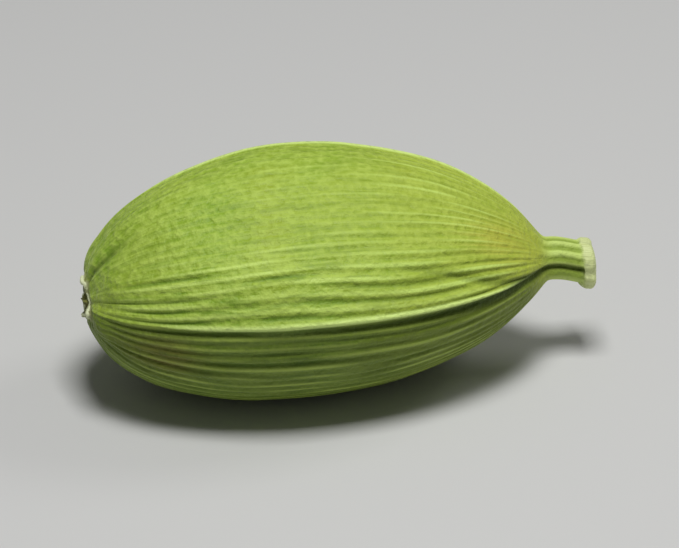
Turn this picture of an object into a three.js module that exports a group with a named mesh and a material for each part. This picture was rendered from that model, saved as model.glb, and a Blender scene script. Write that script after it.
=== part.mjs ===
// Green cardamom pod: a dried seed capsule with three valves, many fine ribs, the stub of its
// stalk and the shrivelled crown of the flower at its blunt end. It grew as one piece, so it
// is one solid.
//
// Millimetres, +Z up. The pod lies on its belly along X, with the flower crown towards -X and
// the stalk towards +X. Its front is towards -Y. The origin is below the middle of its box, on
// the surface that it rests on.

import * as THREE from 'three';

// Length and girth. A distance along the pod runs from the crown, 0, to the cut stalk.
const POD_LENGTH = 20;
const BELLY_AT = 7.9;
const BELLY_RADIUS = 4.75;

// The blunt end is nearly half an ellipse, and the other end tapers to the stalk.
const BLUNT_END_AT = 0.1;
const BLUNT_POWER = 2.2;
const TAPER_END_AT = 18.3;
const TAPER_POWER = 2.2;
const TAPER_FULLNESS = 0.66;

// The three valves meet at three ridges. A valve is given by the angle of the ridge that it
// starts from, in degrees from the front (-Y) up towards the top (+Z), and by its ribs.
const VALVES = [
  { ridge: 11, ribs: 18 },
  { ridge: 118, ribs: 17 },
  { ridge: 218, ribs: 26 },
];
const KEEL_SHARE = 0.075;
const RIDGE_HEIGHT = 0.2;
const RIDGE_WIDTH = 7;
const RIDGE_FULL_RADIUS = 3.8;

// The ridges stand out less near the crown, where the pod is rounder.
const RIDGES_RISE_FROM = 2;
const RIDGES_FULL_AT = 8;
const RIDGE_SHARE_AT_CROWN = 0.3;

// Ribs: the height of a crest above the smooth form, the radius of the pod below which they
// get lower, how much the heights differ from line to line and along a line, and how far, in
// degrees, a line strays from its even place.
const RIB_HEIGHT = 0.07;
const RIB_FULL_RADIUS = 2.6;
const RIB_UNEVENNESS = 0.45;
const RIB_TURN_PER_LINE = 2.4;
const RIB_TURN_PER_MM = 0.4;
const RIB_STRAY = 0.8;
const STRAY_TURN_PER_LINE = 1.9;
const LINES_PER_RIB = 2;

// Furrows run above and below the front ridge and deepen towards the neck, where they meet in
// the one that goes on along the stalk.
const FURROWS = [
  { angle: 33, neckAngle: 10, width: 4, depth: 0.12, from: 8 },
  { angle: 6, neckAngle: 6, width: 3, depth: 0.12, from: 2 },
];
const FURROWS_TURN_FROM = 11;
const STALK_FURROW_ANGLE = 4;
const STALK_FURROW_WIDTH = 15;
const STALK_FURROW_DEPTH = 0.18;

// The stalk: its neck, the flared rim of its cut end, its flutes, and the hollow in the end.
const NECK_RADIUS = 0.8;
const NECK_BEND_FROM = 18.3;
const RIM_RADIUS = 0.96;
const RIM_EDGE = 0.1;
const RIM_RELIEF = 0.5;
const RIM_FLARE_FROM = 18.8;
const RIM_DROP = 0.36;
const FLUTES_PER_VALVE = 3;
const FLUTE_HEIGHT = 0.05;
const FLUTES_FROM = 16.6;
const FLUTES_FULL_AT = 18.4;
const KEEL_LOST_ON_STALK = 0.6;
const CUT_HOLLOW_RADIUS = 0.5;
const CUT_HOLLOW_DEPTH = 0.42;

// The flower crown: a thin crumpled ring with three lobes in the puckered blunt end.
const CROWN_RADIUS = 0.74;
const CROWN_WALL = 0.24;
const CROWN_EDGE = 0.1;
const CROWN_HOLLOW_DEPTH = 0.36;
const CROWN_LOBES = 3;
const CROWN_LOBE_TURN = 0.6;
const CROWN_LOBE_SHARE = 0.22;
const CROWN_CRUMPLES = 5;
const CROWN_CRUMPLE_SHARE = 0.08;
const CROWN_FADES_AT = 1;
const PUCKER_RADIUS = 1.4;
const PUCKER_DEPTH = 0.12;

// How far the lowest crest of the belly is pressed in where the pod rests.
const REST_FLAT_DEPTH = 0.45;

// Rings of vertices on the blunt end, on the taper, which has them closer near the neck, and
// on the stalk.
const DOME_RINGS = 12;
const TAPER_RINGS = 15;
const TAPER_RING_POWER = 0.8;
const STALK_RINGS = 3;

const CROWN_INNER = CROWN_RADIUS - CROWN_WALL / 2;
const CROWN_OUTER = CROWN_RADIUS + CROWN_WALL / 2;

const { degToRad, lerp, clamp, smoothstep, euclideanModulo } = THREE.MathUtils;

// Radius of the smooth form.

function bluntRadius(along) {
  const share = (BELLY_AT - along) / (BELLY_AT - BLUNT_END_AT);
  return BELLY_RADIUS * (1 - share ** BLUNT_POWER) ** (1 / BLUNT_POWER);
}

function stalkRadius(along) {
  const flare = clamp((along - RIM_FLARE_FROM) / (POD_LENGTH - RIM_FLARE_FROM), 0, 1);
  return lerp(NECK_RADIUS, RIM_RADIUS, flare ** 2);
}

function taperRadius(along) {
  const share = Math.min((along - BELLY_AT) / (TAPER_END_AT - BELLY_AT), 1);
  const body = BELLY_RADIUS * (1 - share ** TAPER_POWER) ** TAPER_FULLNESS;
  return (body ** 4 + stalkRadius(along) ** 4) ** 0.25;
}

// The middle line is straight as far as the neck, and then bends down to the cut end.

function middleHeight(along) {
  return -RIM_DROP * smoothstep(along, NECK_BEND_FROM, POD_LENGTH);
}

// The profile, as points of radius and distance along the pod, from the middle of the cut end
// to the middle of the crown. relief is the share of the ribs' height that a point carries.

function podProfile() {
  const points = [];
  const add = (radius, along, relief) => points.push({ radius, along, relief });

  add(0, CROWN_HOLLOW_DEPTH, 0);
  add(CROWN_INNER - CROWN_EDGE, CROWN_HOLLOW_DEPTH, 0);
  add(CROWN_INNER, CROWN_EDGE, 0);
  add(CROWN_RADIUS, 0, 0);
  add(CROWN_OUTER, CROWN_EDGE, 0);
  add(CROWN_OUTER, BLUNT_END_AT + PUCKER_DEPTH, 0);

  const firstTurn = Math.asin((CROWN_OUTER + CROWN_EDGE) / BELLY_RADIUS);
  for (let ring = 0; ring < DOME_RINGS; ring += 1) {
    const turn = lerp(firstTurn, Math.PI / 2, ring / DOME_RINGS);
    const along = BELLY_AT - (BELLY_AT - BLUNT_END_AT) * Math.cos(turn);
    const radius = bluntRadius(along);
    const clear = smoothstep(radius, CROWN_INNER, PUCKER_RADIUS);
    add(radius, along + PUCKER_DEPTH * (1 - clear), clear);
  }

  for (let ring = 0; ring <= TAPER_RINGS; ring += 1) {
    const along = lerp(BELLY_AT, FLUTES_FULL_AT, (ring / TAPER_RINGS) ** TAPER_RING_POWER);
    add(taperRadius(along), along, 1);
  }

  for (let ring = 1; ring <= STALK_RINGS; ring += 1) {
    const along = lerp(FLUTES_FULL_AT, POD_LENGTH - RIM_EDGE, ring / (STALK_RINGS + 1));
    add(taperRadius(along), along, 1);
  }
  add(RIM_RADIUS, POD_LENGTH - RIM_EDGE, RIM_RELIEF);
  add(RIM_RADIUS - RIM_EDGE, POD_LENGTH, 0);
  add(CUT_HOLLOW_RADIUS, POD_LENGTH, 0);
  add(CUT_HOLLOW_RADIUS - RIM_EDGE, POD_LENGTH - CUT_HOLLOW_DEPTH, 0);
  add(0, POD_LENGTH - CUT_HOLLOW_DEPTH, 0);
  return points.reverse();
}

// The direction square to the profile at each of its points, pointing out of the pod.

function profileNormals(points) {
  return points.map((point, index) => {
    const before = points[Math.max(index - 1, 0)];
    const after = points[Math.min(index + 1, points.length - 1)];
    return new THREE.Vector2(before.along - after.along, after.radius - before.radius).normalize();
  });
}

// Where each lengthwise line of vertices lies: its angle, its share of the way across its
// valve, how far it is from the nearest ridge, and whether it is a rib's crest or a groove.

function linesAround() {
  const lines = [];
  VALVES.forEach((valve, index) => {
    const next = VALVES[(index + 1) % VALVES.length].ridge;
    const span = euclideanModulo(next - valve.ridge, 360);
    const steps = valve.ribs * LINES_PER_RIB;
    for (let step = 0; step < steps; step += 1) {
      const share = step / steps;
      const stray = step === 0 ? 0 : RIB_STRAY * Math.sin(STRAY_TURN_PER_LINE * step + index);
      lines.push({
        angle: valve.ridge + share * span + stray,
        share,
        fromRidge: Math.min(share, 1 - share) * span,
        crest: step % LINES_PER_RIB === 0 ? 1 : -1,
      });
    }
  });
  return lines;
}

// Factor that gives the round form its three-sided section.

function keelFactor(line, along) {
  const kept = 1 - KEEL_LOST_ON_STALK * smoothstep(along, FLUTES_FROM, FLUTES_FULL_AT);
  const risen = smoothstep(along, RIDGES_RISE_FROM, RIDGES_FULL_AT);
  const wave = Math.cos(2 * Math.PI * line.share);
  return 1 + KEEL_SHARE * kept * (wave > 0 ? wave * risen : wave);
}

// Factor that folds the crown into its lobes.

function crownFactor(line, along) {
  const onCrown = 1 - smoothstep(along, BLUNT_END_AT, CROWN_FADES_AT);
  const turn = degToRad(line.angle);
  const lobes = CROWN_LOBE_SHARE * Math.cos(CROWN_LOBES * turn + CROWN_LOBE_TURN);
  const crumples = CROWN_CRUMPLE_SHARE * Math.cos(CROWN_CRUMPLES * turn);
  return 1 + onCrown * (lobes + crumples);
}

// Depth of the furrows.

function furrowDepth(line, along, onStalk) {
  const bell = (angle, width) => {
    const away = euclideanModulo(line.angle - angle + 180, 360) - 180;
    return Math.exp(-((away / width) ** 2));
  };
  const turned = smoothstep(along, FURROWS_TURN_FROM, FLUTES_FULL_AT);
  let depth = STALK_FURROW_DEPTH * onStalk * bell(STALK_FURROW_ANGLE, STALK_FURROW_WIDTH);
  for (const furrow of FURROWS) {
    const share = smoothstep(along, furrow.from, FLUTES_FULL_AT) * (1 - onStalk);
    const angle = lerp(furrow.angle, furrow.neckAngle, turned);
    depth += furrow.depth * share * bell(angle, furrow.width);
  }
  return depth;
}

// Height of the ridge, the ribs, the flutes and the furrow above the smooth form.

function reliefHeight(line, lineNumber, radius, along) {
  const onStalk = smoothstep(along, FLUTES_FROM, FLUTES_FULL_AT);
  const risen = smoothstep(along, RIDGES_RISE_FROM, RIDGES_FULL_AT);
  const ridgeShare = smoothstep(radius, 0, RIDGE_FULL_RADIUS) * lerp(RIDGE_SHARE_AT_CROWN, 1, risen);
  const ridge = RIDGE_HEIGHT * ridgeShare * Math.exp(-((line.fromRidge / RIDGE_WIDTH) ** 2));
  const turn = RIB_TURN_PER_LINE * lineNumber + RIB_TURN_PER_MM * along;
  const ribHeight = RIB_HEIGHT * smoothstep(radius, 0, RIB_FULL_RADIUS);
  const rib = ribHeight * (1 + RIB_UNEVENNESS * Math.sin(turn)) * line.crest;
  const flute = FLUTE_HEIGHT * Math.cos(2 * Math.PI * FLUTES_PER_VALVE * line.share);
  return lerp(ridge + rib, flute, onStalk) - furrowDepth(line, along, onStalk);
}

function podGeometry() {
  const profile = podProfile();
  const normals = profileNormals(profile);
  const lines = linesAround();
  const outline = profile.map(({ radius, along }) => new THREE.Vector2(radius, along));
  const geometry = new THREE.LatheGeometry(outline, lines.length);

  const position = geometry.attributes.position;
  for (let vertex = 0; vertex < position.count; vertex += 1) {
    const lineNumber = Math.floor(vertex / profile.length) % lines.length;
    const line = lines[lineNumber];
    const { radius, along, relief } = profile[vertex % profile.length];
    const normal = normals[vertex % profile.length];
    const height = relief * reliefHeight(line, lineNumber, radius, along);
    const factor = keelFactor(line, along) * crownFactor(line, along);
    const reach = radius * factor + height * normal.x;
    const turn = degToRad(line.angle);
    position.setXYZ(
      vertex,
      along + height * normal.y,
      -reach * Math.cos(turn),
      middleHeight(along) + reach * Math.sin(turn),
    );
  }
  return geometry;
}

// Presses the belly flat where the pod rests, and puts the origin under the middle of its box.

function settleOnBelly(geometry) {
  geometry.computeBoundingBox();
  const floor = geometry.boundingBox.min.z + REST_FLAT_DEPTH;
  const position = geometry.attributes.position;
  for (let vertex = 0; vertex < position.count; vertex += 1) {
    position.setZ(vertex, Math.max(position.getZ(vertex), floor));
  }
  geometry.computeBoundingBox();
  const middle = geometry.boundingBox.getCenter(new THREE.Vector3());
  geometry.translate(-middle.x, -middle.y, -floor);
  geometry.computeVertexNormals();
  return geometry;
}

const huskMaterial = new THREE.MeshStandardMaterial({
  color: 0x9cb14c,
  roughness: 0.62,
  metalness: 0,
});

const pod = new THREE.Mesh(settleOnBelly(podGeometry()), huskMaterial);
pod.name = 'pod';

const cardamom = new THREE.Group();
cardamom.add(pod);

export default cardamom;
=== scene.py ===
import math

import bmesh
import bpy
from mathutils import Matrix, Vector, noise


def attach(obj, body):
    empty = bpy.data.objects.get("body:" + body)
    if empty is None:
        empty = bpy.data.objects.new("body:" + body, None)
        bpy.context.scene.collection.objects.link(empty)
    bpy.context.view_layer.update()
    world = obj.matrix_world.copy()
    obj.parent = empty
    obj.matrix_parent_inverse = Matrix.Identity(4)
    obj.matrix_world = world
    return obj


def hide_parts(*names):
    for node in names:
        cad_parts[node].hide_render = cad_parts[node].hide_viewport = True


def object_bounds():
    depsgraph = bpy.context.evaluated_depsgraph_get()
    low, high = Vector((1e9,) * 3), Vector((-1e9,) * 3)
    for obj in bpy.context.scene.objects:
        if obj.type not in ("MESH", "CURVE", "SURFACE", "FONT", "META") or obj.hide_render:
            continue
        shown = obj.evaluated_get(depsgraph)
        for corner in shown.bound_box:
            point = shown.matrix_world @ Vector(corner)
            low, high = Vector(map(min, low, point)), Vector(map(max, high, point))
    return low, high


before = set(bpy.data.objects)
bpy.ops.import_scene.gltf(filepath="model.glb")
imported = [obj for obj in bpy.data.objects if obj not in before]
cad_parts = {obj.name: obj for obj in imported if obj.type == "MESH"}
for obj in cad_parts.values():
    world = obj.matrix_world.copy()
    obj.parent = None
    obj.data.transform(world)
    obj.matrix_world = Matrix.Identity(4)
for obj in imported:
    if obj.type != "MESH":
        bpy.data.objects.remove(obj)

cad_low, cad_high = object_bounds()

# The husk is the dried seed capsule: three leathery valves grown together along three ridges,
# with fine fibrous ribs. The stub of the stalk and the shrivelled crown of the flower are the
# same skin, so all of it is one closed mesh, a grid wrapped round the pod.

MM = 0.001

# Form, in millimetres. A distance along the pod runs from the crown, 0, to the cut stalk.
POD_LENGTH = 20
BELLY_AT = 7.9
BELLY_RADIUS = 4.75
BLUNT_END_AT = 0.1
BLUNT_POWER = 2.2
TAPER_END_AT = 18.3
TAPER_POWER = 2.2
TAPER_FULLNESS = 0.66
NECK_SHARPNESS = 6
AXIS_SIDE = 0.28
AXIS_HEIGHT = 4.26

# The ridges where the valves meet, in degrees from the front up towards the top, and the ribs
# of the valve that starts at each. A keel widens the section at the ridges.
VALVE_RIDGES = (11, 118, 218)
VALVE_RIBS = (18, 17, 26)
UPPER_VALVE = 0
UNDER_VALVE = 2
KEEL_SHARE = 0.075
KEEL_LOST_ON_STALK = 0.6

# A ridge is a broad swell with a sharp crest, which rises along the first third of the pod.
RIDGE_HEIGHT = 0.1
RIDGE_WIDTH = 7
RIDGE_CREST_HEIGHT = 0.09
RIDGE_CREST_WIDTH = 1.5
RIDGE_FULL_RADIUS = 3.8
RIDGES_RISE = (2, 8)
RIDGE_SHARE_AT_CROWN = 0.3
PALE_RIDGE_FROM = (1, 5)

# Ribs: round crests and narrow grooves, which wander sideways and get lower towards both ends.
CREST_HEIGHT = 0.045
GROOVE_DEPTH = 0.075
GROOVE_SHARPNESS = 2.4
CREST_HIGHLIGHT_SHARPNESS = 4
RIB_WANDER = 0.38
WANDER_ROUND = 2.2
WANDER_ALONG = 0.2
RIBS_FULL_FROM_CROWN = (0.7, 4.2)
RIBS_FULL_FROM_NECK = (0.8, 3.6)

# The mean share of their size that a rib's crest, groove and painted crest highlight have, how
# much it drifts from rib to rib and along each, and the seed of its drift.
CREST_SHARE = (0.7, 0.6, 7.5)
GROOVE_SHARE = (0.55, 1.2, 2.5)
CREST_HIGHLIGHT_SHARE = (0.55, 1.1, 9.5)
MOST_SHARE = 1.1
DRIFT_BETWEEN_RIBS = 4.3
DRIFT_ALONG = 0.4

# The smooth patch, where the ribs are faint: across most of the upper valve, and less so near
# the neck.
PATCH_FADE = 0.72
PATCH_ACROSS = (0.12, 0.45)
PATCH_ALONG = (9, 15)
PATCH_LOST_NEAR_NECK = 0.5

# Slow swells of the whole skin, and its fibres.
SWELL_HEIGHT = 0.07
SWELL_LENGTH = 3.2
SWELLS_ROUND = 1.5
FIBRE_HEIGHT = 0.01
FIBRES_ROUND = 20
FIBRES_ALONG = 1.2

# Furrows above and below the front ridge, by angle in the belly and at the neck, width in
# degrees, depth, and where along the pod they begin. On the stalk they run into one deep one.
FURROWS = ((33, 10, 1.8, 0.13, 8), (7, 6, 2.2, 0.2, 1.5))
FURROWS_TURN = (11, 18.5)
FURROW_WIDENING = 1.5
FURROW_RUSH = 0.6
STALK_FURROW_ANGLE = 4
STALK_FURROW_WIDTH = 12
STALK_FURROW_DEPTH = 0.28

# Creases that gather round the crown, by angle and depth.
CREASES = (
    (20, 0.08), (72, 0.16), (104, 0.08), (150, 0.12),
    (196, 0.16), (246, 0.1), (300, 0.16), (338, 0.12),
)
CREASE_WIDTH = 6
CREASE_SEED = 3.5
CREASES_END = (0.5, 2.6)

# How strongly a crevice is darkened with painted shade for each millimetre of its depth.
FURROW_PAINTED_SHADE = 6
CREASE_PAINTED_SHADE = 5

# Stains of the skin, by distance along the pod, angle and size: brown below the front ridge,
# and amber above the neck.
BROWN_STAIN = (2.6, -9, 1.3)
AMBER_STAIN = (16, 52, 1.5)
STAIN_NARROWNESS = 1.6

# Stalk, with its flutes, thick flared rim and hollow cut end. The rim is uneven in its radius
# and in where the cut runs.
NECK_RADIUS = 0.8
NECK_BEND_FROM = 18.3
RIM_RADIUS = 0.97
RIM_ROUNDING = 0.2
RIM_FLARE = (19.36, 19.62)
RIM_SMOOTHNESS = 0.7
RIM_DROP = 0.36
RIM_UNEVENNESS = 0.09
CUT_UNEVENNESS = 0.14
CUT_SETBACK = 0.5
UNEVEN_ROUND = 1.6
UNEVEN_SEED = 20
FLUTES_PER_VALVE = 3
FLUTE_HEIGHT = 0.05
STALK_BEGINS = (16.9, 18.5)
CUT_HOLLOW_RADIUS = 0.55
CUT_HOLLOW_DEPTH = 0.42
CUT_FLOOR_RADIUS = 0.47
DARK_FROM_CUT = (0.05, 0.3)

# Crown of the flower, a thin ragged ring in a shallow pit in the blunt end. Its lobes and
# crumples are given by how many go round it, their share of its radius and their turn.
CROWN_RADIUS = 0.74
CROWN_WALL = 0.16
CROWN_HOLLOW_DEPTH = 0.36
CROWN_RAGGEDNESS = 0.24
MEAN_TEAR = 0.5
TEARS_ROUND = 2
TEAR_SEEDS = (1, 5.5)
CROWN_WAVES = ((3, 0.22, 0.6), (5, 0.09, 0), (9, 0.05, 1.3), (14, 0.03, 0))
CROWN_FADES_AT = 1
FOLD_HEIGHT = 0.28
FOLD_WIDTH = 0.16
FOLD_TURN = 0.9
FOLD_BEND = 0.8
FOLD_FROM_WALL = (0.12, 0.3)
PALE_LIP_DEPTH = (0.05, 0.28)
PIT_RADIUS = 1.3
PIT_DEPTH = 0.14

# Lines and rings of the grid. The rings lie closer on the dome and near the neck.
LINES_PER_RIB = 8
DOME_RINGS = 52
DOME_RING_POWER = 1.15
TAPER_RINGS = 82
TAPER_RING_POWER = 0.85
STALK_RINGS = 14
RIM_RINGS = 6
LIP_RINGS = 8
FINE_SPACING = 0.08
SAME_POINT = 0.00001


def smooth_step(value, start, end):
    share = min(max((value - start) / (end - start), 0), 1)
    return share * share * (3 - 2 * share)


def mix(first, second, share):
    return first + (second - first) * share


def bell(distance, width):
    return math.exp(-((distance / width) ** 2))


def ripple(x, y, z):
    """Smooth noise, from about -1 to 1, with a swing for each unit."""
    return noise.noise((x, y, z))


def degrees_apart(first, second):
    return (first - second + 180) % 360 - 180


def dome_radius(along):
    share = (BELLY_AT - along) / (BELLY_AT - BLUNT_END_AT)
    return BELLY_RADIUS * (1 - share**BLUNT_POWER) ** (1 / BLUNT_POWER)


def taper_radius(along):
    share = min((along - BELLY_AT) / (TAPER_END_AT - BELLY_AT), 1)
    body = BELLY_RADIUS * (1 - share**TAPER_POWER) ** TAPER_FULLNESS
    stalk = mix(NECK_RADIUS, RIM_RADIUS, smooth_step(along, *RIM_FLARE))
    return (body**NECK_SHARPNESS + stalk**NECK_SHARPNESS) ** (1 / NECK_SHARPNESS)


def straight(start, end):
    """Closely spaced points of radius and distance along, from start up to, but not at, end."""
    count = math.ceil(math.dist(start, end) / FINE_SPACING)
    shares = [step / count for step in range(count)]
    return [(mix(start[0], end[0], share), mix(start[1], end[1], share)) for share in shares]


def crown_profile():
    """The crown from the middle of its hollow, over its lip, to the bottom of the pit."""
    lip = CROWN_WALL / 2
    inner, outer = CROWN_RADIUS - lip, CROWN_RADIUS + lip
    rings = straight((0, CROWN_HOLLOW_DEPTH), (inner - lip, CROWN_HOLLOW_DEPTH))
    rings += straight((inner - lip, CROWN_HOLLOW_DEPTH), (inner, CROWN_HOLLOW_DEPTH - lip))
    rings += straight((inner, CROWN_HOLLOW_DEPTH - lip), (inner, lip))
    for step in range(LIP_RINGS):
        turn = math.pi * step / LIP_RINGS
        rings.append((CROWN_RADIUS - lip * math.cos(turn), lip - lip * math.sin(turn)))
    return rings + straight((outer, lip), (outer, BLUNT_END_AT + PIT_DEPTH))


def valve_profile():
    """The blunt end, from the bottom of the pit to the belly, and the taper to the stalk."""
    rings = []
    crown_outer = CROWN_RADIUS + CROWN_WALL / 2
    first_turn = math.asin((crown_outer + FINE_SPACING / 2) / BELLY_RADIUS)
    for step in range(DOME_RINGS):
        turn = mix(first_turn, math.pi / 2, (step / DOME_RINGS) ** DOME_RING_POWER)
        along = BELLY_AT - (BELLY_AT - BLUNT_END_AT) * math.cos(turn)
        radius = dome_radius(along)
        in_pit = 1 - smooth_step(radius, crown_outer, PIT_RADIUS)
        rings.append((radius, along + PIT_DEPTH * in_pit))
    for step in range(TAPER_RINGS):
        along = mix(BELLY_AT, STALK_BEGINS[1], (step / TAPER_RINGS) ** TAPER_RING_POWER)
        rings.append((taper_radius(along), along))
    return rings


def stalk_profile():
    """The stalk from its neck to its cut end, with the rounded edge of its rim."""
    rings = []
    rounding_from = POD_LENGTH - RIM_ROUNDING
    for step in range(STALK_RINGS):
        along = mix(STALK_BEGINS[1], rounding_from, step / STALK_RINGS)
        rings.append((taper_radius(along), along))
    for step in range(RIM_RINGS):
        turn = math.pi / 2 * step / RIM_RINGS
        radius = RIM_RADIUS - RIM_ROUNDING * (1 - math.cos(turn))
        rings.append((radius, rounding_from + RIM_ROUNDING * math.sin(turn)))
    return rings


def cut_profile():
    """The cut end of the stalk, from its rim to the middle of its hollow."""
    floor_at = POD_LENGTH - CUT_HOLLOW_DEPTH
    rings = straight((RIM_RADIUS - RIM_ROUNDING, POD_LENGTH), (CUT_HOLLOW_RADIUS, POD_LENGTH))
    rings += straight((CUT_HOLLOW_RADIUS, POD_LENGTH), (CUT_FLOOR_RADIUS, floor_at))
    rings += straight((CUT_FLOOR_RADIUS, floor_at), (0, floor_at))
    return rings + [(0, floor_at)]


def square_to(rings):
    """The direction square to the profile at each ring, as its radial and lengthwise parts."""
    normals = []
    for index in range(len(rings)):
        before = rings[max(index - 1, 0)]
        after = rings[min(index + 1, len(rings) - 1)]
        radial, lengthwise = after[1] - before[1], before[0] - after[0]
        size = math.hypot(radial, lengthwise)
        normals.append((radial / size, lengthwise / size))
    return normals


def lines_around():
    """The lines from end to end, each with its place round the pod, on its valve and its ribs."""
    lines = []
    for valve, ribs in enumerate(VALVE_RIBS):
        ridge = VALVE_RIDGES[valve]
        span = (VALVE_RIDGES[(valve + 1) % len(VALVE_RIDGES)] - ridge) % 360
        for step in range(ribs * LINES_PER_RIB):
            share = step / (ribs * LINES_PER_RIB)
            angle = ridge + share * span
            lines.append({
                "valve": valve,
                "angle": angle,
                "turn": math.radians(angle),
                "across": math.cos(math.radians(angle)),
                "up": math.sin(math.radians(angle)),
                "share": share,
                "from_ridge": min(share, 1 - share) * span,
                "place": sum(VALVE_RIBS[:valve]) + share * ribs,
            })
    return lines


def ribs_kept(line, radius, along):
    """Share of their full height that the ribs have, less at the ends and on the patch."""
    full_from = RIBS_FULL_FROM_CROWN if along < BELLY_AT else RIBS_FULL_FROM_NECK
    kept = smooth_step(radius, *full_from)
    if line["valve"] == UPPER_VALVE:
        patch = smooth_step(line["share"], *PATCH_ACROSS)
        patch *= 1 - PATCH_LOST_NEAR_NECK * smooth_step(along, *PATCH_ALONG)
        kept *= 1 - PATCH_FADE * patch
    return kept


def drifting(mean, drift, seed, rib, along):
    """A share that differs from rib to rib and drifts along each."""
    share = mean + drift * ripple(DRIFT_BETWEEN_RIBS * rib, DRIFT_ALONG * along, seed)
    return min(max(share, 0), MOST_SHARE)


def rib_relief(line, along):
    """Height of the ribs, how deep in a groove a point is, and how strong the painted highlight
    along a rib's crest is.
    """
    wander = ripple(WANDER_ROUND * line["across"], WANDER_ROUND * line["up"], WANDER_ALONG * along)
    place = line["place"] + RIB_WANDER * wander
    rib = round(place)
    crest = (1 + math.cos(math.tau * place)) / 2
    groove = (1 - crest) ** GROOVE_SHARPNESS
    groove *= drifting(*GROOVE_SHARE, math.floor(place), along)
    crest_highlight = crest**CREST_HIGHLIGHT_SHARPNESS * drifting(*CREST_HIGHLIGHT_SHARE, rib, along)
    height = CREST_HEIGHT * crest * drifting(*CREST_SHARE, rib, along)
    fibre = ripple(FIBRES_ROUND * line["across"], FIBRES_ROUND * line["up"], FIBRES_ALONG * along)
    return height - GROOVE_DEPTH * groove + FIBRE_HEIGHT * fibre, groove, crest_highlight


def ridge_relief(line, radius, along):
    """Height of the ridge, whose crest is left narrow."""
    risen = mix(RIDGE_SHARE_AT_CROWN, 1, smooth_step(along, *RIDGES_RISE))
    swell = RIDGE_HEIGHT * bell(line["from_ridge"], RIDGE_WIDTH)
    crest = RIDGE_CREST_HEIGHT * bell(line["from_ridge"], RIDGE_CREST_WIDTH)
    return (swell + crest) * smooth_step(radius, 0, RIDGE_FULL_RADIUS) * risen


def furrow_depth(line, along, on_stalk):
    from_furrow = degrees_apart(line["angle"], STALK_FURROW_ANGLE)
    depth = STALK_FURROW_DEPTH * on_stalk * bell(from_furrow, STALK_FURROW_WIDTH)
    turned = smooth_step(along, *FURROWS_TURN)
    for belly_angle, neck_angle, width, full_depth, begins in FURROWS:
        from_furrow = degrees_apart(line["angle"], mix(belly_angle, neck_angle, turned))
        share = smooth_step(along, begins, FURROWS_TURN[1]) ** FURROW_RUSH * (1 - on_stalk)
        depth += full_depth * share * bell(from_furrow, width * (1 + FURROW_WIDENING * turned))
    return depth


def crease_depth(line, along):
    """Depth of the creases near the crown, each of which wanders a little."""
    depth = 0
    for angle, full_depth in CREASES:
        wandered = angle + CREASE_WIDTH * ripple(angle, DRIFT_ALONG * along, CREASE_SEED)
        depth += full_depth * bell(degrees_apart(line["angle"], wandered), CREASE_WIDTH)
    return depth * (1 - smooth_step(along, *CREASES_END))


def stain(line, radius, along, place):
    """Share of a stain at a point, from 1 in its middle."""
    at, angle, size = place
    across = math.radians(degrees_apart(line["angle"], angle)) * radius
    return bell(math.hypot(along - at, STAIN_NARROWNESS * across), size)


def keel_factor(line, along, on_stalk, on_rim):
    """Factor that gives the round form its three-sided section."""
    wave = math.cos(math.tau * line["share"])
    if wave > 0:
        wave *= smooth_step(along, *RIDGES_RISE)
    return 1 + KEEL_SHARE * wave * (1 - KEEL_LOST_ON_STALK * on_stalk) * (1 - on_rim)


def crown_factor(line, along):
    """Factor that folds the crown into its lobes and crumples."""
    waves = sum(
        share * math.cos(count * line["turn"] + turn) for count, share, turn in CROWN_WAVES
    )
    return 1 + waves * (1 - smooth_step(along, BLUNT_END_AT, CROWN_FADES_AT))


def crown_shift(line, radius, along):
    """How far the ragged lip stands back, less how far the fold across the hollow stands up."""
    tear_across = TEAR_SEEDS[0] + TEARS_ROUND * line["across"]
    torn = MEAN_TEAR + ripple(tear_across, TEARS_ROUND * line["up"], TEAR_SEEDS[1])
    lip = CROWN_RAGGEDNESS * max(torn, 0) * (1 - smooth_step(along, 0, CROWN_HOLLOW_DEPTH))
    bent = line["turn"] - FOLD_TURN + FOLD_BEND * math.sin(2 * line["turn"])
    fold = bell(radius * math.sin(bent), FOLD_WIDTH)
    return lip - FOLD_HEIGHT * fold * smooth_step(CROWN_RADIUS - radius, *FOLD_FROM_WALL)


def rim_factor_and_shift(line, radius, on_rim):
    """How uneven the rim is at a point: a factor of its radius, and how far it is moved along."""
    wave = ripple(UNEVEN_ROUND * line["across"], UNEVEN_ROUND * line["up"], UNEVEN_SEED)
    share = on_rim * smooth_step(radius, CUT_FLOOR_RADIUS, RIM_RADIUS)
    return 1 + RIM_UNEVENNESS * wave * share, CUT_UNEVENNESS * (wave - CUT_SETBACK) * share


crown_rings = crown_profile()
cut_rings = cut_profile()
rings = crown_rings + valve_profile() + stalk_profile() + cut_rings
normals = square_to(rings)
lines = lines_around()

form = bmesh.new()
bmesh.ops.create_grid(form, x_segments=len(rings) - 1, y_segments=len(lines), size=1)
mark_names = (
    "along", "crest", "ribbed", "crest_highlight", "ridge", "under", "crevice", "brown", "amber",
    "stalk", "rim", "hollow", "crown", "lip",
)
marks = {name: form.verts.layers.float.new(name) for name in mark_names}
grain_mark = form.verts.layers.float_vector.new("grain")

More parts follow.
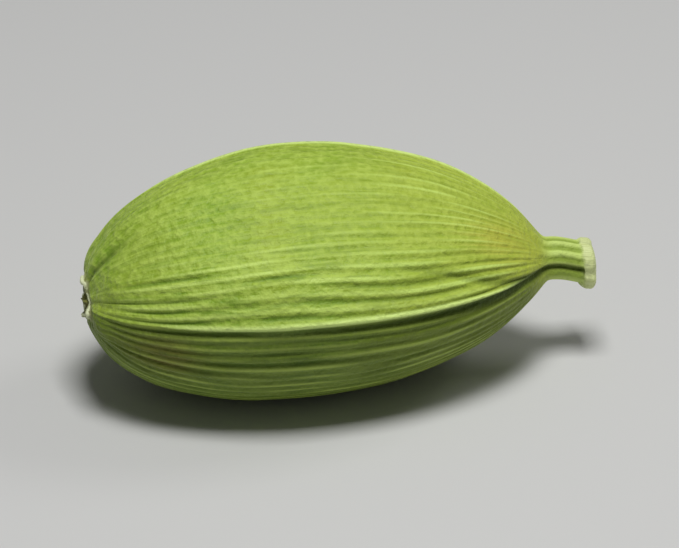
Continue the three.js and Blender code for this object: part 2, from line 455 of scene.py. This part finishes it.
# The flat grid reaches from -1 to 1 each way. A point's ring comes from its x and its line from
# its y, and the last line falls on the first.
for vertex in form.verts:
    index = round((vertex.co.x + 1) / 2 * (len(rings) - 1))
    line = lines[round((vertex.co.y + 1) / 2 * len(lines)) % len(lines)]
    radius, along = rings[index]
    across, up = line["across"], line["up"]
    on_crown = index < len(crown_rings)
    on_cut = index >= len(rings) - len(cut_rings)
    on_stalk = smooth_step(along, *STALK_BEGINS)
    on_rim = smooth_step(along, *RIM_FLARE)

    kept = ribs_kept(line, radius, along)
    rib, groove, crest_highlight = rib_relief(line, along)
    flute = math.cos(math.tau * FLUTES_PER_VALVE * line["share"])
    furrow = furrow_depth(line, along, on_stalk)
    crease = crease_depth(line, along)
    swell = ripple(along / SWELL_LENGTH, SWELLS_ROUND * across, SWELLS_ROUND * up)
    height = 0
    if not on_crown and not on_cut:
        valve_height = ridge_relief(line, radius, along) + rib * kept
        height = mix(valve_height, FLUTE_HEIGHT * flute, on_stalk) - crease - furrow
        height += SWELL_HEIGHT * swell * smooth_step(radius, CROWN_RADIUS, RIDGE_FULL_RADIUS)
        height *= 1 - RIM_SMOOTHNESS * on_rim
    if along < BELLY_AT:
        height *= smooth_step(radius, CROWN_RADIUS, PIT_RADIUS)

    factor = keel_factor(line, along, on_stalk, on_rim) * crown_factor(line, along)
    rim_factor, shift = rim_factor_and_shift(line, radius, on_rim)
    if on_crown:
        shift = crown_shift(line, radius, along)
    reach = radius * factor * rim_factor + height * normals[index][0]
    drop = RIM_DROP * smooth_step(along, NECK_BEND_FROM, POD_LENGTH)
    vertex.co.x = cad_low.x / MM + along + shift + height * normals[index][1]
    vertex.co.y = AXIS_SIDE - reach * across
    vertex.co.z = max(AXIS_HEIGHT - drop + reach * up, 0)

    ridge_crest = bell(line["from_ridge"], RIDGE_CREST_WIDTH)
    vertex[marks["along"]] = along
    # The crest mark is low in the rib grooves, where it paints shade into the colour; on the stalk
    # it gives the flutes' colour.
    vertex[marks["crest"]] = mix(1 - groove * kept, (1 + flute) / 2, on_stalk * (1 - on_rim))
    vertex[marks["ribbed"]] = kept
    # A painted highlight along each rib crest.
    vertex[marks["crest_highlight"]] = crest_highlight * kept * (1 - on_stalk)
    vertex[marks["ridge"]] = ridge_crest * smooth_step(along, *PALE_RIDGE_FROM) * (1 - on_stalk)
    # Painted shade over the lower valve.
    vertex[marks["under"]] = (line["valve"] == UNDER_VALVE) * (1 - on_stalk)
    # Painted shade in the furrows and creases.
    vertex[marks["crevice"]] = min(FURROW_PAINTED_SHADE * furrow + CREASE_PAINTED_SHADE * crease, 1)
    vertex[marks["brown"]] = stain(line, radius, along, BROWN_STAIN)
    vertex[marks["amber"]] = stain(line, radius, along, AMBER_STAIN)
    vertex[marks["stalk"]] = on_stalk
    vertex[marks["rim"]] = on_rim
    vertex[marks["hollow"]] = on_cut * smooth_step(POD_LENGTH - along, *DARK_FROM_CUT)
    vertex[marks["crown"]] = on_crown
    vertex[marks["lip"]] = on_crown * (1 - smooth_step(along, *PALE_LIP_DEPTH))
    vertex[grain_mark] = (along, BELLY_RADIUS * across, BELLY_RADIUS * up)

bmesh.ops.remove_doubles(form, verts=form.verts[:], dist=SAME_POINT)
bmesh.ops.recalc_face_normals(form, faces=form.faces[:])
bmesh.ops.scale(form, vec=(MM, MM, MM), verts=form.verts[:])
for face in form.faces:
    face.smooth = True
husk_mesh = bpy.data.meshes.new("husk")
form.to_mesh(husk_mesh)
form.free()
husk = bpy.data.objects.new("husk", husk_mesh)
bpy.context.scene.collection.objects.link(husk)


def display_colour(red, green, blue):
    """A colour as a screen shows it, 0 to 255, as the linear light that a shader takes."""
    shares = [value / 255 for value in (red, green, blue)]
    return [s / 12.92 if s < 0.04 else ((s + 0.055) / 1.055) ** 2.4 for s in shares] + [1]


# Colours of the skin, from its ground to what lies over it, with painted shade and highlights
# among them.
LEAF_GREEN = display_colour(128, 167, 40)
YELLOW_GREEN = display_colour(157, 178, 53)
PALE_GREEN = display_colour(184, 209, 92)
DASH_AND_GROOVE_SHADE_GREEN = display_colour(90, 126, 20)
NECK_YELLOW = display_colour(180, 190, 64)
SHADED_GREEN = display_colour(70, 92, 16)
LIT_CREST_HIGHLIGHT = display_colour(202, 228, 114)
SHADED_CREST_HIGHLIGHT = display_colour(134, 152, 48)
AMBER = display_colour(206, 176, 62)
BROWN = display_colour(120, 96, 44)
RIDGE_GREEN = display_colour(216, 240, 140)
CREVICE_SHADE_GREEN = display_colour(60, 82, 6)
FLUTE_GROOVE = display_colour(146, 170, 68)
FLUTE_CREST = display_colour(204, 226, 126)
RIM_CREAM = display_colour(202, 212, 140)
RIM_PALE = display_colour(228, 238, 174)
CROWN_OLIVE = display_colour(118, 112, 58)
CROWN_PAPER = display_colour(228, 234, 192)
CUT_BROWN = display_colour(66, 48, 20)
SHEEN_GREEN = display_colour(226, 240, 170)

# How close its patterns are: streaks and dashes for each millimetre along and across the
# fibres, and granules and patches for each metre.
STREAK_SCALE = (0.5, 7, 7)
DASH_SCALE = (0.55, 3.4, 3.4)
GRANULE_SCALE = (3800, 3800, 3800)
PATCH_SCALE = (240, 240, 240)

# Its finish, nearly matt with a faint sheen, and the depth of its bumps in millimetres.
ROUGHNESS = (0.5, 0.68)
GLOSS = 0.3
SHEEN = 0.3
SHEEN_ROUGHNESS = 0.4
STREAK_BUMP_STRENGTH = 0.4
STREAK_BUMP_DEPTH = 0.04
GRANULE_BUMP_STRENGTH = 1
GRANULE_BUMP_DEPTH = 0.1


def add_node(tree, kind, sockets=None, **settings):
    """A shader node with its settings, and with each socket linked or given its value."""
    node = tree.nodes.new(kind)
    for name, value in settings.items():
        setattr(node, name, value)
    for name, value in (sockets or {}).items():
        if isinstance(value, bpy.types.NodeSocket):
            tree.links.new(value, node.inputs[name])
        else:
            node.inputs[name].default_value = value
    return node


def blend(tree, share, first, second):
    """The colour that is first at share 0 and second at share 1."""
    sockets = {"Factor_Float": share, "A_Color": first, "B_Color": second}
    node = tree.nodes.new("ShaderNodeMix")
    node.data_type = "RGBA"
    for socket in node.inputs:
        value = sockets.get(socket.identifier)
        if isinstance(value, bpy.types.NodeSocket):
            tree.links.new(value, socket)
        elif value is not None:
            socket.default_value = value
    return next(socket for socket in node.outputs if socket.identifier == "Result_Color")


def mark(tree, name, output="Fac"):
    """A value or vector that the mesh carries on its vertices."""
    return add_node(tree, "ShaderNodeAttribute", attribute_name=name).outputs[output]


def rescale(tree, value, low, high, to_low=0, to_high=1):
    """The value with low to high stretched to to_low to to_high, and held there beyond them."""
    sockets = {
        "Value": value,
        "From Min": low,
        "From Max": high,
        "To Min": to_low,
        "To Max": to_high,
    }
    return add_node(tree, "ShaderNodeMapRange", sockets).outputs["Result"]


def multiply(tree, first, second):
    sockets = {0: first, 1: second}
    return add_node(tree, "ShaderNodeMath", sockets, operation="MULTIPLY").outputs[0]


def cloud(tree, coordinates, scale, detail, roughness):
    """Noise, from 0 to 1, with this scale along X, Y and Z."""
    mapping = add_node(tree, "ShaderNodeMapping", {"Vector": coordinates, "Scale": scale})
    sockets = {
        "Vector": mapping.outputs["Vector"],
        "Scale": 1,
        "Detail": detail,
        "Roughness": roughness,
    }
    return add_node(tree, "ShaderNodeTexNoise", sockets).outputs["Fac"]


def bumped(tree, height, strength, depth, under=None):
    """The shading direction of a surface raised by height, over bumps that it already has."""
    sockets = {"Height": height, "Strength": strength, "Distance": depth * MM}
    if under:
        sockets["Normal"] = under
    return add_node(tree, "ShaderNodeBump", sockets).outputs["Normal"]


def husk_material():
    material = bpy.data.materials.new("husk")
    material.use_nodes = True
    tree = material.node_tree
    surface = tree.nodes["Principled BSDF"]
    place = add_node(tree, "ShaderNodeTexCoord").outputs["Object"]
    fibres = cloud(tree, mark(tree, "grain", "Vector"), STREAK_SCALE, detail=4, roughness=0.6)
    broken = cloud(tree, mark(tree, "grain", "Vector"), DASH_SCALE, detail=2, roughness=0.5)
    patches = cloud(tree, place, PATCH_SCALE, detail=2, roughness=0.55)
    granules = cloud(tree, place, GRANULE_SCALE, detail=2, roughness=0.5)

    def marked(name, low, high, to_low=0, to_high=1):
        return rescale(tree, mark(tree, name), low, high, to_low, to_high)

    # Colours that vary, and the shares of layers that two patterns or marks decide together.
    # The painted crest highlight, with a darker, shaded copy on the lower valve.
    crest_highlight_green = blend(tree, marked("under", 0, 1, 0, 0.6), LIT_CREST_HIGHLIGHT, SHADED_CREST_HIGHLIGHT)
    flute_green = blend(tree, marked("crest", 0.2, 0.8), FLUTE_GROOVE, FLUTE_CREST)
    rim_cream = blend(tree, rescale(tree, fibres, 0.4, 0.6), RIM_CREAM, RIM_PALE)
    streaks = multiply(tree, rescale(tree, fibres, 0.42, 0.62), marked("ribbed", 0, 1, 0.25, 0.8))
    faint_dashes = rescale(tree, broken, 0.5, 0.64, 0, 0.5)
    dashes = multiply(tree, faint_dashes, marked("ribbed", 0, 1, 0.3, 1))
    amber = multiply(tree, mark(tree, "amber"), rescale(tree, fibres, 0.35, 0.6, 0, 0.35))
    brown = multiply(tree, mark(tree, "brown"), rescale(tree, fibres, 0.3, 0.6, 0.1, 0.6))
    # The flute colour gives way to the painted shade in the stalk's furrow.
    stalk = multiply(tree, marked("stalk", 0.5, 1, 0, 0.85), marked("crevice", 0.3, 1, 1, 0.15))
    flecks = rescale(tree, granules, 0.36, 0.46, 0.25, 1)
    lip = multiply(tree, marked("lip", 0.1, 0.8, 0, 0.95), flecks)

    # Each layer lies over those before it, with its share at each point and its colour.
    layers = (
        (streaks, PALE_GREEN),
        (rescale(tree, granules, 0.36, 0.68, 0, 0.75), PALE_GREEN),
        (dashes, DASH_AND_GROOVE_SHADE_GREEN),
        # Painted shade in the rib grooves.
        (marked("crest", 0.1, 0.75, 0.74, 0), DASH_AND_GROOVE_SHADE_GREEN),
        (marked("along", 8, 17.5, 0, 0.6), NECK_YELLOW),
        # Painted shade over the lower valve.
        (marked("under", 0, 1, 0, 0.7), SHADED_GREEN),
        # Painted highlight along the rib crests.
        (marked("crest_highlight", 0.1, 0.7, 0, 0.9), crest_highlight_green),
        (amber, AMBER),
        (brown, BROWN),
        (marked("ridge", 0.25, 0.8, 0, 0.9), RIDGE_GREEN),
        # Painted shade in the furrows and creases.
        (marked("crevice", 0.25, 1, 0, 0.85), CREVICE_SHADE_GREEN),
        (stalk, flute_green),
        (mark(tree, "rim"), rim_cream),
        (marked("crown", 0, 1, 0, 0.85), CROWN_OLIVE),
        (lip, CROWN_PAPER),
        (marked("hollow", 0, 1, 0, 0.9), CUT_BROWN),
    )
    skin = blend(tree, rescale(tree, patches, 0.3, 0.7), LEAF_GREEN, YELLOW_GREEN)
    for share, colour in layers:
        skin = blend(tree, share, skin, colour)
    tree.links.new(skin, surface.inputs["Base Color"])

    tree.links.new(rescale(tree, granules, 0.3, 0.7, *ROUGHNESS), surface.inputs["Roughness"])
    streaked = bumped(tree, fibres, STREAK_BUMP_STRENGTH, STREAK_BUMP_DEPTH)
    grainy = bumped(tree, granules, GRANULE_BUMP_STRENGTH, GRANULE_BUMP_DEPTH, streaked)
    tree.links.new(grainy, surface.inputs["Normal"])
    surface.inputs["Specular IOR Level"].default_value = GLOSS
    surface.inputs["Sheen Weight"].default_value = SHEEN
    surface.inputs["Sheen Roughness"].default_value = SHEEN_ROUGHNESS
    surface.inputs["Sheen Tint"].default_value = SHEEN_GREEN
    return material


husk.data.materials.append(husk_material())
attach(husk, "root")
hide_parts("pod")

# The floor is a plain sheet of pale grey board, wide enough to reach out of the view. The pod
# lies loose on it.

FLOOR_HALF_SIDE = 1.5
FLOOR_GREY = (0.63, 0.63, 0.62, 1)
FLOOR_ROUGHNESS = 0.8

floor_form = bmesh.new()
bmesh.ops.create_grid(floor_form, x_segments=1, y_segments=1, size=FLOOR_HALF_SIDE)
floor_mesh = bpy.data.meshes.new("floor")
floor_form.to_mesh(floor_mesh)
floor_form.free()
floor = bpy.data.objects.new("floor", floor_mesh)
bpy.context.scene.collection.objects.link(floor)
floor_material = bpy.data.materials.new("pale_floor")
floor_material.use_nodes = True
floor_surface = floor_material.node_tree.nodes["Principled BSDF"]
floor_surface.inputs["Base Color"].default_value = FLOOR_GREY
floor_surface.inputs["Roughness"].default_value = FLOOR_ROUGHNESS
floor.data.materials.append(floor_material)

# The light is a soft panel overhead, a little to the front, which leaves the pod's lower face
# in shade, and a weaker panel to the right. An even pale room fills in the rest.

LIGHTS = {
    "overhead": {"at": (0, -0.035, 0.16), "side": 0.05, "watts": 0.2},
    "right": {"at": (0.12, 0.03, 0.12), "side": 0.06, "watts": 0.04},
}
ROOM_STRENGTH = 0.1

pod_middle = Vector((0, 0, cad_high.z / 2))
for name, light in LIGHTS.items():
    lamp = bpy.data.lights.new(name, "AREA")
    lamp.size = light["side"]
    lamp.energy = light["watts"]
    panel = bpy.data.objects.new(name, lamp)
    panel.location = light["at"]
    panel.rotation_euler = (pod_middle - panel.location).to_track_quat("-Z", "Y").to_euler()
    bpy.context.scene.collection.objects.link(panel)

room = bpy.data.worlds.new("room")
room.use_nodes = True
room.node_tree.nodes["Background"].inputs["Color"].default_value = (1, 1, 1, 1)
room.node_tree.nodes["Background"].inputs["Strength"].default_value = ROOM_STRENGTH
bpy.context.scene.world = room
bpy.context.scene.view_settings.view_transform = "Standard"

# The camera looks down on the pod's front from a little to its left. Its long lens keeps the
# pod's proportions, as from a few hundred millimetres away.

CAMERA_AZIMUTH = math.radians(-10)
CAMERA_ELEVATION = math.radians(30)
LENS = 400
SENSOR_WIDTH = 36
FRAME_WIDTH = 26 * MM
CLIP_START = 0.01

back = Vector((
    math.sin(CAMERA_AZIMUTH) * math.cos(CAMERA_ELEVATION),
    -math.cos(CAMERA_AZIMUTH) * math.cos(CAMERA_ELEVATION),
    math.sin(CAMERA_ELEVATION),
))
camera_data = bpy.data.cameras.new("camera")
camera_data.lens = LENS
camera_data.sensor_width = SENSOR_WIDTH
camera_data.clip_start = CLIP_START
camera = bpy.data.objects.new("camera", camera_data)
camera.location = pod_middle + back * (FRAME_WIDTH * LENS / SENSOR_WIDTH)
camera.rotation_euler = back.to_track_quat("Z", "Y").to_euler()
bpy.context.scene.collection.objects.link(camera)
bpy.context.scene.camera = camera
